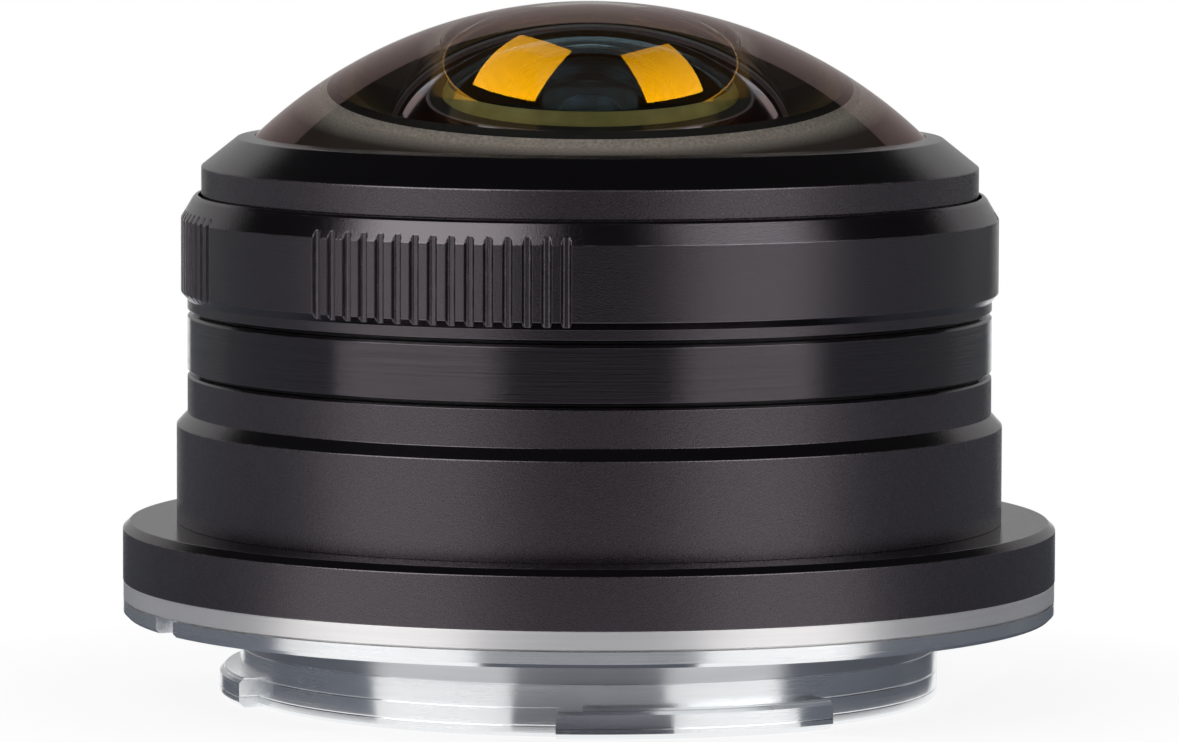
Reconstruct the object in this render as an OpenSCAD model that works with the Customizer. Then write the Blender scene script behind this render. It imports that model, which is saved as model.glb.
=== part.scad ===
// Circular fisheye lens for a mirrorless camera, with a bayonet mount, focus and aperture rings and an iris.
// Origin: centre of the mount's seating face. +Z runs along the optical axis towards the front glass.
// Angles named "side" are counted from the front of the lens (-Y) towards +X, in degrees.

/* [Bayonet mount] */
// Outer diameter of the mount plate and the black flange
flange_d = 60; // [59:0.1:62]
// Thickness of the mount plate that seats on the camera
plate_t = 1.0; // [0.9:0.05:1.3]
// Thickness of the silver spacer ring under the black flange
spacer_t = 1.28; // [1.1:0.02:1.6]
// Outer diameter of the bayonet neck that enters the camera's throat
neck_d = 45.1; // [44.5:0.1:45.6]
// Inner diameter of the bayonet neck
neck_bore_d = 39.2; // [38.6:0.1:40]
// Depth of the bayonet behind the seating face
neck_depth = 5.2; // [4.8:0.1:6]
// How far the lugs stand out of the neck
lug_reach = 1.22; // [0.9:0.02:1.3]
// Height of the lugs along the axis
lug_h = 1.9; // [1.6:0.05:2.2]
// Distance of the mount screws from the rim of the plate
mount_screw_inset = 2.6; // [2.4:0.1:3]
// Width of the lock-pin slot in the rim of the mount plate
lock_slot_w = 2.6; // [2:0.1:3]

/* [Fixed barrel] */
// Thickness of the black flange
flange_t = 3.77; // [3.4:0.01:4.4]
// How far the rear barrel stands out past the index ring
barrel_step = 0.7; // [0.5:0.05:1]
// Height of the rear barrel from the flange to the index ring
barrel_h = 7.0; // [6.5:0.1:8]
// Wall of the aperture ring; the index ring and the lip of the focus ring are as wide
ring_wall = 2.575; // [2.4:0.025:2.8]
// Height of the index ring
index_h = 2.47; // [2.2:0.01:3]
// How far the guide barrel's bore lies inside the edge of the front glass
guide_step = 0.6; // [0.5:0.05:0.8]
// Wall of the guide barrel
guide_wall = 1.6; // [1.4:0.05:1.7]

/* [Aperture ring] */
// Height of the aperture ring
aperture_h = 3.67; // [3.4:0.01:4.2]
// Gap above and below the aperture ring
ring_gap = 0.2; // [0.15:0.01:0.3]
// Turn of the aperture ring from wide open to closed, in degrees
aperture_turn = 40; // [36:1:41]
// Diameter of the pin that drives the iris
drive_pin_d = 1.2; // [1:0.05:1.3]

/* [Focus ring] */
// Wall of the focus ring round the front ring
focus_rim_w = 1.1; // [1:0.02:1.4]
// Height of the focus ring
focus_h = 7.4; // [7.2:0.05:8]
// Height of the narrow lip at its lower edge
lip_h = 0.74; // [0.6:0.02:0.9]
// Turn of the focus ring from far to near, in degrees
focus_turn = 90; // [80:1:96]
// Width of one grip groove at the surface
groove_w = 0.62; // [0.5:0.02:0.7]
// Depth of the grip grooves
groove_depth = 0.3; // [0.2:0.02:0.34]
// Angle from one grip groove to the next
groove_pitch = 2.651; // [2.5:0.001:2.8]
// Grooves in each grip patch
groove_count = 15; // [9:1:15]

/* [Front] */
// Width of the front ring's bevel
front_bevel_w = 2.29; // [2.1:0.01:2.5]
// Height of the front ring's wall above the focus ring
front_wall_h = 1.84; // [1.6:0.02:2.4]
// Height of the front ring's bevel
front_bevel_h = 1.83; // [1.6:0.01:2]
// Diameter at the top of that bevel; the barrel and the rings get their diameters from it
front_top_d = 45.3; // [45.1:0.05:45.8]
// Width of the front ring's rim round the edge of the front glass
front_rim_w = 0.45; // [0.4:0.01:0.6]
// Radius of the front glass's outer surface
dome_r = 31.1; // [30:0.1:33]
// Radius of the front glass's inner surface
bowl_r = 14.5; // [14:0.1:15]
// Thickness of the front glass on the axis
dome_t = 1.2; // [1:0.1:1.6]
// Thickness of the front glass at its edge
dome_edge_t = 2; // [1.8:0.05:2.2]

/* [Second element] */
// Ledge between the hollow of the front glass and the second element
second_ledge = 3.4; // [3.2:0.05:3.6]
// Radius of its front surface
second_front_r = 20; // [18:0.5:26]
// Width of the ground bevel round its polished front surface
second_bevel_w = 0.5; // [0.4:0.05:0.7]
// Height of its cylindrical edge
second_edge_h = 1.5; // [1.4:0.05:1.7]
// Height of that ground bevel
second_bevel_h = 1.2; // [1:0.05:1.4]

/* [Iris] */
// Number of iris blades
blade_count = 7; // [7]
// Radius of the opening when wide open
iris_open_r = 2.7; // [2.5:0.05:2.9]
// Radius of the circle through the blade pivots
blade_pivot_r = 7.6; // [7.5:0.05:7.8]
// Swing of each blade from wide open to closed, in degrees
blade_swing = 17; // [14:0.5:18]
// Thickness of one blade
blade_t = 0.07; // [0.05:0.01:0.08]
// Distance from one blade's level to the next
blade_step = 0.1; // [0.1:0.005:0.12]

/* [Fits] */
// Radial clearance of parts that turn or slide on each other
run_c = 0.05; // [0.03:0.01:0.08]
// Radial clearance of threads and pressed or screwed parts
seat_c = 0.02; // [0.01:0.01:0.03]

/* [Hidden] */
$fn = 96;

// Colours
anodised = [0.13, 0.12, 0.13];
black = [0.04, 0.04, 0.04];
chrome = [0.80, 0.80, 0.82];
steel = [0.60, 0.60, 0.62];
glass = [0.35, 0.33, 0.28, 0.5];
nylon = [0.90, 0.90, 0.88];

// Helpers
cut = 1;                 // how far cutters run past the faces that they cut
edge_c = 0.1;            // small broken edge on turned parts
face_c = 0.03;           // axial clearance of parts that slide face to face

// Heights along the axis, from the seating face up
spacer_z = plate_t;
flange_z = spacer_z + spacer_t;
barrel_z = flange_z + flange_t;
index_z = barrel_z + barrel_h;
index_top_z = index_z + index_h;
aperture_z = index_top_z + ring_gap;
aperture_top_z = aperture_z + aperture_h;
focus_z = aperture_top_z + ring_gap;
focus_top_z = focus_z + focus_h;
front_wall_z = focus_top_z + front_wall_h;
front_top_z = front_wall_z + front_bevel_h;

// Mount
flange_r = flange_d / 2;
neck_r = neck_d / 2;
lug_r = neck_r + lug_reach;
neck_bore_r = neck_bore_d / 2;
plate_edge_c = 0.25;     // bevel on the rear rim of the mount plate
plate_inset = 0.04;      // the plates are turned a little under the flange's size
joint_groove = 0.35;     // depth of the groove between plate and spacer
joint_groove_h = 0.12;
relief_h = 0.25;         // undercut round the neck, so that the seat is clear of the lugs
relief_reach = 0.4;
neck_step_z = 1.8;       // a fine step runs round the neck here
neck_step = 0.1;
low_neck_r = neck_r - neck_step;
lug_root = 0.6;          // the lugs start this far inside the neck
lug_bevel = 0.35;
lug_ramp = 4;            // lead-in at one end of each lug, in degrees
lug_ramp_h = 0.4;
lug_sides = [[-4.9, 39.9], [-114, -69], [112, 162]];
lock_side = -63;
lock_depth = 2.0;
mount_screw_side = 105;
mount_screw_d = 1.7;
screw_head_d = 3.2;
screw_head_h = 0.85;
screw_sink = 0.05;       // heads lie this far under the face
screw_slot_w = 0.4;
screw_slot_depth = 0.45;
mount_screw_bite = 2.6;  // depth of thread in the flange

// Radii from the front glass outwards
front_top_r = front_top_d / 2;
dome_edge_r = front_top_r - front_rim_w;
front_ring_r = front_top_r + front_bevel_w;
guide_bore_r = dome_edge_r - guide_step;
guide_r = guide_bore_r + guide_wall;
ring_bore_r = guide_r + run_c;
cell_r = guide_bore_r - run_c;
slim_r = ring_bore_r + ring_wall;
barrel_r = slim_r + barrel_step;
front_gap = 0.2;         // gap between front ring and focus ring
focus_mouth_r = front_ring_r + front_gap;
focus_r = focus_mouth_r + focus_rim_w;

// Fixed barrel
flange_bevel_h = 0.5;
flange_bevel_w = 0.4;
barrel_bevel_h = 0.76;
shelf_t = 1.2;           // shelf in the rear barrel that the guide barrel stands on
guide_z = barrel_z + shelf_t;
spigot_h = 1.2;          // rear barrel's spigot in the flange
spigot_step = 0.2;
spigot_r = guide_r + spigot_step;
flange_ledge = 1;        // the flange reaches this far inside the guide barrel's bore
flange_bore_r = guide_bore_r - flange_ledge;
barrel_screw_n = 4;
barrel_screw_d = 1.6;
barrel_head_d = 2.6;
barrel_head_h = 1.1;
barrel_screw_bite = 2.4;
barrel_screw_r = (spigot_r + barrel_r) / 2;
washer_t = ring_gap - 2 * face_c;
washer_w = 1.8;
thread_drop = 0.7;       // depth of the guide barrel's top thread
retainer_t = 0.57;
retainer_w = 1.45;       // the retainer reaches this far past the guide barrel
spacer_bore_r = 12.2;

// Rear baffle
baffle_hole_r = 9.6;
baffle_floor_t = 1.0;
baffle_wall = 0.65;
baffle_steps = 3;
baffle_step_w = 0.95;
baffle_step_h = 1.15;
baffle_screw_n = 3;
baffle_screw_r = 14.6;
baffle_screw_d = 1.4;
baffle_head_d = 2.4;
baffle_head_h = 0.4;
baffle_screw_bite = 1.1;

// Rings
front_recess = 2.1;                    // depth of the recess under the front ring
focus_floor_z = focus_top_z - front_recess;
focus_bevel_h = 1.45;
focus_top_w = 0.35;
lip_bevel_h = 0.49;
groove_floor_w = 0.36;
// Sides of the first groove of each grip patch, the two pairs mirrored about the plain sector
plain_side = 41.1;
patch_sides = [-40.25, -103.8];
patch_span = (groove_count - 1) * groove_pitch;

// Pins that hold the lens block and stop the focus ring at both ends of its turn
stop_pin_d = 1.6;
stop_pin_n = 3;
stop_pin_side = 60;
stop_pin_rise = 2.6;
stop_pin_z = focus_z + stop_pin_rise;
stop_pin_out = 1.75;                   // how far a pin reaches into the focus ring
groove_c = 0.03;
groove_spare = 3;                      // spare angle at each end of a stop groove
cell_tube_wall = 1.65;

// Drive from the aperture ring to the iris
drive_side = 180;
drive_z = (aperture_z + aperture_top_z) / 2;
drive_pin_r = drive_pin_d / 2;
drive_pin_reach = 3.4;                 // how far the pin reaches inside the guide barrel's bore
drive_pin_cover = 1;                   // metal left outside the pin
drive_pin_in = guide_bore_r - drive_pin_reach;
drive_pin_out = slim_r - drive_pin_cover;
window_spare = 1.5;                    // spare angle at each end of the pin's window
drive_clear = 0.2;
arm_clear = 0.5;                       // gap between the pin and the arm under it

// Front glass and its ring
lip_cover = 0.75;                      // the front ring's lip covers this much of the glass
dome_show_r = dome_edge_r - lip_cover;
lip_rise = 0.13;
dome_c_z = front_top_z + lip_rise - rise(dome_r, dome_show_r);
dome_edge_z = dome_c_z + rise(dome_r, dome_edge_r);
dome_rear_z = dome_edge_z - dome_edge_t;
bowl_c_z = dome_c_z + dome_r - dome_t - bowl_r;
bowl_rim_r = rise(bowl_r, dome_rear_z - bowl_c_z);
glass_c = 0.05;                        // radial clearance round the glass
lip_c = 0.03;                          // clearance between lip and glass
skirt_inset = 0.1;                     // the skirt inside the focus ring is turned down by this
skirt_r = front_ring_r - skirt_inset;
cup_in_r = dome_edge_r + glass_c;
cup_share = 0.135;                     // part of the room round the glass that the cell's cup takes
cup_r = cup_in_r + cup_share * (skirt_r - cup_in_r);
cup_drop = 0.1;
cup_top_z = dome_edge_z - cup_drop;
front_ring_lift = 1;                   // gap under the front ring, where the retainer lies
front_ring_z = focus_floor_z + front_ring_lift;
cap_seat_lift = 0.05;                  // the wall that a slip-on cap seats on starts this far up
cap_seat_z = focus_top_z + cap_seat_lift;
seal_w = 0.9;
seal_h = 0.48;
seal_c = 0.04;
seal_inset = 1.8;                      // from the edge of the glass to the seal's bore
seal_r = dome_edge_r - seal_inset;

// Lens block
cell_z = drive_z + drive_pin_r + drive_clear;
cell_flange_z = front_ring_z - face_c;
second_r = bowl_rim_r - second_ledge;
second_sink = 0.2;                     // its edge ends this far under the front glass
second_z = dome_rear_z - second_edge_h - second_sink;
second_rear_r = 7.5;
second_rear_a = 6.6;
second_clear_r = second_r - second_bevel_w;
third_r = 7.9;
third_t = 2.8;
second_to_third = 3.9;
third_z = second_z - second_to_third;
third_front_r = 30;
third_front_a = 7;
third_rear_r = 14;
third_rear_a = 5.8;
third_retainer_h = 0.9;
ring_sight = 0.1;                      // a retainer's bore clears the glass's polished face by this
fourth_r = 6.6;
fourth_t = 2.0;
fourth_ledge_t = 0.55;
fourth_ledge_r = 5.8;
fourth_z = cell_z + fourth_ledge_t;
fourth_top_z = fourth_z + fourth_t;
fourth_front_r = 10;
fourth_front_a = 6;
fourth_rear_r = 16;
fourth_rear_a = 5.6;
fourth_retainer_h = 0.8;
hub_wall = 1.65;                       // wall round the third element
hub_foot_r = 11.6;                     // foot that the iris housing is screwed to
hub_foot_h = 1.25;
web_t = 1.9;                           // web between hub and outer tube
spanner_w = 1.0;                       // slots for a spanner in the retainers
spanner_depth = 0.4;

// Iris
blade_pin_d = 0.7;
blade_pin_c = 0.03;
blade_arm = 1.9;                       // from a blade's pivot to its drive pin
blade_body_r = 5.9;
blade_from = -12;                      // a blade's body runs between these angles from its pivot
blade_to = 140;
blade_ear_r = 0.8;
blade_ear_root = 1;                    // the ear starts this far inside the body
rotor_t = 0.7;
rotor_in_r = 6.4;
rotor_out_r = 9.6;
rotor_clear = 0.13;
iris_wall_in_r = 9.7;
iris_floor_t = 0.6;
iris_floor_hole_r = 3.0;
iris_retainer_t = 0.4;
iris_screw_n = 3;
iris_screw_d = 1.0;
iris_screw_r = (iris_wall_in_r + hub_foot_r) / 2;
iris_screw_bite = 0.9;
iris_screw_side = 35;
fork_w = 1.0;
fork_c = 0.03;
fork_past = 0.2;                       // the fork reaches this far past the pin's end
fork_gap_out = 1.2;                    // gap between fork and guide barrel
fork_in = drive_pin_in - fork_past;
fork_out = guide_bore_r - fork_gap_out;
arm_t = 0.4;                           // arm that carries the fork
rotor_z = drive_z - drive_pin_r - arm_clear - arm_t;
blade_z = rotor_z - rotor_clear - blade_count * blade_step;
iris_floor_z = blade_z - blade_step / 2;
iris_z = iris_floor_z - iris_floor_t;
rotor_top_z = rotor_z + rotor_t;
blade_ratio = blade_swing / aperture_turn;

// Rear cell
rear_cell_r = 9.0;
rear_cell_z = 0.8;
rear_spigot_r = 5.5;
rear_spigot_h = 0.3;
doublet_r = 5.6;
doublet_shoulder_r = 4.9;
doublet_drop = 1.45;                   // from the iris down to the cemented pair's rim
doublet_z = iris_z - doublet_drop;
fifth_t = 2.4;
sixth_t = 2.0;
sixth_top_z = doublet_z - fifth_t;
sixth_z = sixth_top_z - sixth_t;
cement_r = 9;
cement_a = 5.0;
cement_c = 0.02;
fifth_front_r = 25;
fifth_front_a = 4.8;
sixth_rear_r = 12;
sixth_rear_a = 5;
doublet_retainer_h = 0.8;
seventh_r = 7.2;
seventh_rise = 2.2;
seventh_z = rear_cell_z + seventh_rise;
seventh_t = 2.6;
seventh_top_z = seventh_z + seventh_t;
seventh_throat_r = 6.45;
seventh_front_r = 14;
seventh_rear_r = 22;
seventh_a = 6.4;
rear_retainer_h = 0.8;

function rise(r, a) = sqrt(r * r - a * a);
function turn_of(side) = side - 90;
function polar(r, angle) = [r * cos(angle), r * sin(angle)];
function spin(p, angle) = [p[0] * cos(angle) - p[1] * sin(angle), p[0] * sin(angle) + p[1] * cos(angle)];

// Centre of the circle through three points
function centre_of(a, b, c) =
  let (d = 2 * (a[0] * (b[1] - c[1]) + b[0] * (c[1] - a[1]) + c[0] * (a[1] - b[1])))
  [((a * a) * (b[1] - c[1]) + (b * b) * (c[1] - a[1]) + (c * c) * (a[1] - b[1])) / d,
   ((a * a) * (c[0] - b[0]) + (b * b) * (a[0] - c[0]) + (c * c) * (b[0] - a[0])) / d];

// A turned part from its half section, points as [radius, height]
module turned(points) {
  rotate_extrude() polygon(points);
}

// A plain ring between two radii and two heights
module ring(r_in, r_out, z0, z1) {
  turned([[r_in, z0], [r_out, z0], [r_out, z1], [r_in, z1]]);
}

// Part of a turned ring, from one angle over a span
module sector(points, from, span) {
  rotate([0, 0, from]) rotate_extrude(angle = span) polygon(points);
}

// Copies round the axis
module around(n, from = 0) {
  for (i = [0 : n - 1]) rotate([0, 0, from + i * 360 / n]) children();
}

// A rod along +X from radius r0 to r1 at height z
module radial_rod(d, r0, r1, z) {
  translate([r0, 0, z]) rotate([0, 90, 0]) cylinder(d = d, h = r1 - r0);
}

// A lens element between two rim planes; a face is convex for a positive radius, concave for a negative one
module element(r, z_rear, z_front, front_r, front_a, rear_r, rear_a) {
  difference() {
    union() {
      translate([0, 0, z_rear]) cylinder(r = r, h = z_front - z_rear);
      if (front_r > 0) translate([0, 0, z_front]) cap(front_r, front_a);
      if (rear_r > 0) translate([0, 0, z_rear]) mirror([0, 0, 1]) cap(rear_r, rear_a);
    }
    if (front_r < 0) translate([0, 0, z_front + rise(front_r, front_a)]) sphere(-front_r);
    if (rear_r < 0) translate([0, 0, z_rear - rise(rear_r, rear_a)]) sphere(-rear_r);
  }
}

// A spherical cap of base radius a that stands on z = 0
module cap(r, a) {
  intersection() {
    translate([0, 0, -rise(r, a)]) sphere(r);
    cylinder(r = a, h = r);
  }
}

// A threaded retaining ring with two spanner slots
module retainer(r_in, r_out, z0, h) {
  difference() {
    ring(r_in, r_out, z0, z0 + h);
    around(2) translate([r_in - cut, -spanner_w / 2, z0 + h - spanner_depth])
      cube([r_out - r_in + 2 * cut, spanner_w, spanner_depth + cut]);
  }
}

// A screw that points up, its slotted head at the bottom; the head is a cone if sunk, else a cylinder
module screw(d, length, head_d, head_h, sunk) {
  difference() {
    union() {
      cylinder(d1 = head_d, d2 = sunk ? d : head_d, h = head_h);
      cylinder(d = d, h = length);
    }
    translate([-head_d / 2 - cut, -screw_slot_w / 2, -cut])
      cube([head_d + 2 * cut, screw_slot_w, min(screw_slot_depth, head_h / 2) + cut]);
  }
}

// Mount

// One lug: bevelled, with a lead-in ramp at its first end
module lug(side_from, side_to) {
  z0 = -neck_depth;
  z1 = z0 + lug_h;
  root_r = neck_r - lug_root;
  section = [[root_r, z0], [lug_r - lug_bevel, z0], [lug_r, z0 + lug_bevel], [lug_r, z1 - lug_bevel],
    [lug_r - lug_bevel, z1], [root_r, z1]];
  ramp_section = [[root_r - cut, z1 - lug_ramp_h], [lug_r + cut, z1 - lug_ramp_h],
    [lug_r + cut, z1 + cut], [root_r - cut, z1 + cut]];
  difference() {
    sector(section, turn_of(side_from), side_to - side_from);
    sector(ramp_section, turn_of(side_from) - cut, lug_ramp + cut);
  }
}

module bayonet_mount() color(chrome) {
  rim_r = flange_r - plate_inset;
  difference() {
    union() {
      turned([[neck_bore_r, -neck_depth + edge_c], [neck_bore_r + edge_c, -neck_depth],
        [low_neck_r - plate_edge_c, -neck_depth], [low_neck_r, -neck_depth + plate_edge_c],
        [low_neck_r, -neck_step_z], [neck_r, -neck_step_z], [neck_r, relief_h],
        [lug_r + relief_reach, relief_h], [lug_r + relief_reach, 0],
        [rim_r - plate_edge_c, 0], [rim_r, plate_edge_c], [rim_r, plate_t], [neck_bore_r, plate_t]]);
      for (s = lug_sides) lug(s[0], s[1]);
    }
    mount_screw_places() mount_screw_hole();
    rotate([0, 0, turn_of(lock_side)]) translate([rim_r - lock_depth + lock_slot_w / 2, 0, -cut]) {
      cylinder(d = lock_slot_w, h = plate_t + 2 * cut);
      translate([0, -lock_slot_w / 2, 0]) cube([lock_depth + cut, lock_slot_w, plate_t + 2 * cut]);
    }
  }
}

module mount_screw_places() {
  around(4, turn_of(mount_screw_side)) translate([flange_r - mount_screw_inset, 0, 0]) children();
}

// The hole that a mount screw leaves in the plate, the spacer and the flange
module mount_screw_hole() {
  top = flange_z + mount_screw_bite + seat_c;
  translate([0, 0, -cut]) cylinder(d = mount_screw_d + 2 * seat_c, h = top + cut);
  head_d = screw_head_d + 2 * seat_c;
  translate([0, 0, screw_sink]) cylinder(d1 = head_d, d2 = mount_screw_d + 2 * seat_c, h = screw_head_h);
  translate([0, 0, -cut]) cylinder(d = head_d, h = cut + screw_sink);
}

module mount_screws() color(steel) mount_screw_places() translate([0, 0, screw_sink])
  screw(mount_screw_d, flange_z + mount_screw_bite - screw_sink, screw_head_d, screw_head_h, true);

module mount_spacer() color(chrome) difference() {
  rim_r = flange_r - plate_inset;
  turned([[spacer_bore_r, spacer_z], [rim_r - joint_groove, spacer_z],
    [rim_r - joint_groove, spacer_z + joint_groove_h], [rim_r, spacer_z + joint_groove_h],
    [rim_r, flange_z], [spacer_bore_r, flange_z]]);
  mount_screw_places() mount_screw_hole();
  baffle_screw_places() translate([0, 0, spacer_z - cut])
    cylinder(d = baffle_screw_d + 2 * seat_c, h = baffle_screw_bite + cut + seat_c);
}

// Fixed barrel

module barrel_screw_places() {
  around(barrel_screw_n, turn_of(mount_screw_side) + 180 / barrel_screw_n)
    translate([barrel_screw_r, 0, flange_z]) children();
}

module barrel_screw_hole() {
  translate([0, 0, -cut]) cylinder(d = barrel_head_d + 2 * seat_c, h = barrel_head_h + cut + seat_c);
  cylinder(d = barrel_screw_d + 2 * seat_c, h = flange_t + barrel_screw_bite + seat_c);
}

module barrel_screws() color(steel) barrel_screw_places()
  screw(barrel_screw_d, flange_t + barrel_screw_bite, barrel_head_d, barrel_head_h, false);

module flange_ring() color(anodised) difference() {
  spigot_z = barrel_z - spigot_h - face_c;
  turned([[flange_bore_r, flange_z], [flange_r, flange_z], [flange_r, barrel_z - flange_bevel_h],
    [flange_r - flange_bevel_w, barrel_z], [spigot_r + seat_c, barrel_z], [spigot_r + seat_c, spigot_z],
    [flange_bore_r, spigot_z]]);
  mount_screw_places() mount_screw_hole();
  barrel_screw_places() barrel_screw_hole();
}

module rear_barrel() color(anodised) difference() {
  turned([[guide_bore_r, barrel_z - spigot_h], [spigot_r, barrel_z - spigot_h], [spigot_r, barrel_z],
    [barrel_r, barrel_z], [barrel_r, index_z - barrel_bevel_h], [slim_r, index_z],
    [slim_r, index_top_z - edge_c], [slim_r - edge_c, index_top_z], [guide_r + seat_c, index_top_z],
    [guide_r + seat_c, guide_z], [guide_bore_r, guide_z]]);
  barrel_screw_places() barrel_screw_hole();
}

// Sleeve that the two rings turn on, with the lens block in its bore
module guide_barrel() color(anodised) {
  top_z = focus_floor_z + face_c + retainer_t;
  slot_w = stop_pin_d + 2 * groove_c;
  window = aperture_turn + 2 * window_spare + 2 * asin(drive_pin_r / guide_bore_r);
  difference() {
    turned([[guide_bore_r, guide_z], [guide_r, guide_z], [guide_r, focus_floor_z + face_c],
      [guide_r - thread_drop, focus_floor_z + face_c], [guide_r - thread_drop, top_z],
      [guide_bore_r, top_z]]);
    around(stop_pin_n, turn_of(stop_pin_side))
      translate([guide_bore_r - cut, -slot_w / 2, stop_pin_z - slot_w / 2])
        cube([guide_wall + 2 * cut, slot_w, focus_top_z - stop_pin_z]);
    sector([[guide_bore_r - cut, drive_z - drive_pin_r - drive_clear],
        [guide_r + cut, drive_z - drive_pin_r - drive_clear],
        [guide_r + cut, drive_z + drive_pin_r + drive_clear],
        [guide_bore_r - cut, drive_z + drive_pin_r + drive_clear]],
      turn_of(drive_side) - (window - aperture_turn) / 2, window);
  }
}

module lower_washer() color(nylon)
  ring(ring_bore_r, ring_bore_r + washer_w, index_top_z + face_c, index_top_z + face_c + washer_t);

module middle_washer() color(nylon)
  ring(ring_bore_r, ring_bore_r + washer_w, aperture_top_z + face_c, aperture_top_z + face_c + washer_t);

module focus_retainer() color(anodised)
  retainer(guide_r - thread_drop + seat_c, guide_r + retainer_w, focus_floor_z + face_c, retainer_t);

// Black shield in the bayonet's bore, stepped against stray light
module rear_baffle() color(black) difference() {
  wall_r = neck_bore_r - glass_c;
  low_z = spacer_z - baffle_floor_t;
  first_r = wall_r - baffle_wall;
  steps = [for (i = [0 : baffle_steps - 1]) each
    [[first_r - i * baffle_step_w, low_z - (baffle_steps - i) * baffle_step_h],
     [first_r - i * baffle_step_w, low_z - (baffle_steps - i - 1) * baffle_step_h]]];
  rear_z = low_z - baffle_steps * baffle_step_h;
  turned(concat([[baffle_hole_r, spacer_z], [wall_r, spacer_z], [wall_r, rear_z]], steps,
    [[baffle_hole_r, low_z]]));
  baffle_screw_places() translate([0, 0, low_z - cut]) {
    cylinder(d = baffle_screw_d + 2 * seat_c, h = baffle_floor_t + 2 * cut);
    cylinder(d = baffle_head_d + 2 * seat_c, h = baffle_head_h + cut + seat_c);
  }
}

module baffle_screw_places() {
  around(baffle_screw_n) translate([baffle_screw_r, 0, 0]) children();
}

module baffle_screws() color(steel) baffle_screw_places() translate([0, 0, spacer_z - baffle_floor_t])
  screw(baffle_screw_d, baffle_floor_t + baffle_screw_bite, baffle_head_d, baffle_head_h, false);

// Focus ring

// One grip groove, cut along the ring at angle 0
module grip_groove() {
  half = groove_w / 2;
  floor_half = groove_floor_w / 2;
  floor_r = focus_r - groove_depth;
  flare = (half - floor_half) / groove_depth;
  out = focus_r + cut;
  half_out = half + flare * cut;
  translate([0, 0, focus_z + lip_h / 2]) linear_extrude(focus_h)
    polygon([[floor_r, -floor_half], [out, -half_out], [out, half_out], [floor_r, floor_half]]);
}

module grip_patch(side) {
  for (i = [0 : groove_count - 1]) rotate([0, 0, turn_of(side + i * groove_pitch)]) grip_groove();
}

// One stop groove in the bore: it runs past the pin as the ring turns
module stop_groove() {
  half_h = stop_pin_d / 2 + groove_c;
  in_r = ring_bore_r - cut;
  out_r = ring_bore_r + stop_pin_out + drive_clear;
  end = asin(half_h / ring_bore_r) + groove_spare;
  translate([0, 0, stop_pin_z])
    sector([[in_r, -half_h], [out_r, -half_h], [out_r, half_h], [in_r, half_h]],
      -focus_turn - end, focus_turn + 2 * end);
}

module focus_ring() color(anodised) difference() {
  turned([[ring_bore_r, focus_z], [slim_r - edge_c, focus_z], [slim_r, focus_z + edge_c],
    [slim_r, focus_z + lip_h], [focus_r, focus_z + lip_h + lip_bevel_h],
    [focus_r, focus_top_z - focus_bevel_h],
    [focus_mouth_r + focus_top_w, focus_top_z - focus_top_w / 2],
    [focus_mouth_r + focus_top_w / 2, focus_top_z], [focus_mouth_r, focus_top_z],
    [focus_mouth_r, focus_floor_z], [ring_bore_r, focus_floor_z]]);
  for (s = patch_sides) {
    grip_patch(s);
    grip_patch(2 * plain_side - s - patch_span);
  }
  around(stop_pin_n, turn_of(stop_pin_side)) stop_groove();
}

// Aperture ring and its drive pin

module aperture_ring() color(anodised) difference() {
  turned([[ring_bore_r, aperture_z], [slim_r - edge_c, aperture_z], [slim_r, aperture_z + edge_c],
    [slim_r, aperture_top_z - edge_c], [slim_r - edge_c, aperture_top_z], [ring_bore_r, aperture_top_z]]);
  rotate([0, 0, turn_of(drive_side)])
    radial_rod(drive_pin_d + 2 * seat_c, guide_bore_r, drive_pin_out + seat_c, drive_z);
}

module aperture_pin() color(steel) rotate([0, 0, turn_of(drive_side)])
  radial_rod(drive_pin_d, drive_pin_in, drive_pin_out, drive_z);

// Lens block

module front_ring() color(anodised)
  turned([[cup_r + seat_c, front_ring_z], [skirt_r, front_ring_z],
    [skirt_r, cap_seat_z], [front_ring_r, cap_seat_z], [front_ring_r, front_wall_z],
    [front_top_r, front_top_z], [dome_show_r + lip_c + edge_c, front_top_z + lip_rise],
    [dome_show_r + lip_c, front_top_z + lip_rise],
    [dome_edge_r + lip_c, dome_edge_z + lip_c], [dome_edge_r + lip_c, cup_top_z + lip_c],
    [cup_r + seat_c, cup_top_z + lip_c]]);

module front_element() color(glass) difference() {
  intersection() {
    translate([0, 0, dome_c_z]) sphere(dome_r);
    translate([0, 0, dome_rear_z]) cylinder(r = dome_edge_r, h = dome_r);
  }
  translate([0, 0, bowl_c_z]) sphere(bowl_r);
}

module front_seal() color(black) ring(seal_r, seal_r + seal_w, dome_rear_z - seal_h, dome_rear_z);

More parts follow.
